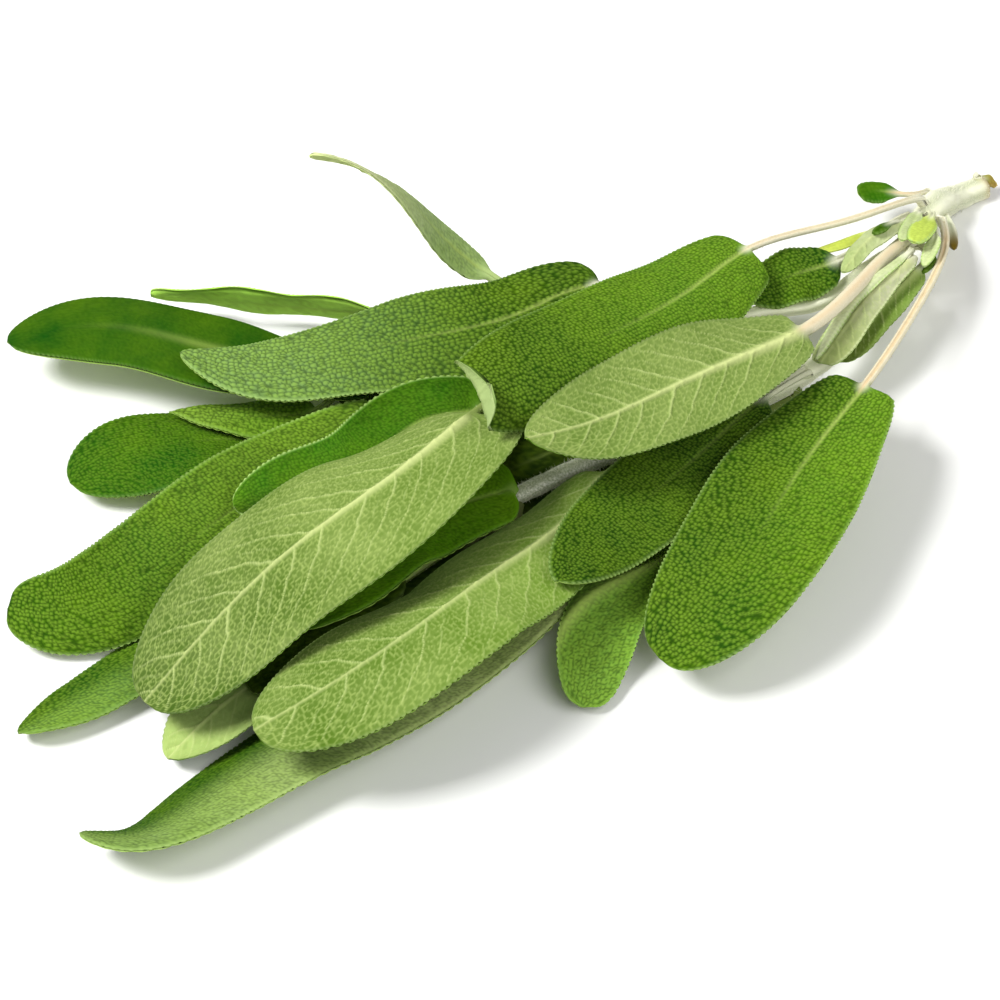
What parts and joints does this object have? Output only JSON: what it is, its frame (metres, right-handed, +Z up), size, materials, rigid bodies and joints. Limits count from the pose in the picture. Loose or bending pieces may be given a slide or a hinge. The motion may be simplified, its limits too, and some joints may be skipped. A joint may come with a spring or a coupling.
{
  "type": "sage bunch",
  "caption": "Cut bunch of garden sage lying on its side: a short branching stem with long-stalked, oblong, velvety leaves fanned out over one another",
  "frame": {"origin": "centre of the bounding box's footprint, on the surface the bunch lies on", "axes": "+X from the leaf tips towards the cut end of the stem, +Y across the bunch, +Z up from the surface"},
  "size_m": [0.2134, 0.1326, 0.0453],
  "materials": {
    "sage_leaf": "velvety grey-green upper face with a pebbled net of veins",
    "sage_young_leaf": "soft yellow-green young leaf",
    "sage_stem": "pale, woolly, square-sided stem"
  },
  "bodies": {
    "root": {"stem": "sage_stem", "leaf_broad_top": "sage_leaf", "leaf_pale_upper": "sage_leaf", "leaf_pale_large": "sage_leaf", "leaf_right_broad": "sage_leaf", "leaf_pale_folded": "sage_leaf", "leaf_front_curled": "sage_leaf", "leaf_long_left": "sage_leaf", "leaf_wavy_mid": "sage_leaf", "leaf_pebbled_long": "sage_leaf", "leaf_far_left": "sage_leaf", "leaf_left_blunt": "sage_leaf", "leaf_left_pointed": "sage_leaf", "leaf_pale_tucked": "sage_leaf", "leaf_inner_round": "sage_leaf", "leaf_centre_dark": "sage_leaf", "leaf_front_small": "sage_leaf", "leaf_slim_back": "sage_leaf", "leaf_node_dark": "sage_leaf", "leaf_tiny_top": "sage_leaf", "leaf_curled_sprout": "sage_leaf", "leaf_fold_pale": "sage_leaf", "leaf_fold_green": "sage_leaf", "leaf_bud_bright": "sage_young_leaf", "leaf_bud_pale": "sage_leaf", "leaf_under_back": "sage_leaf", "leaf_under_mid": "sage_leaf", "leaf_under_front": "sage_leaf"}
  },
  "joints": []
}
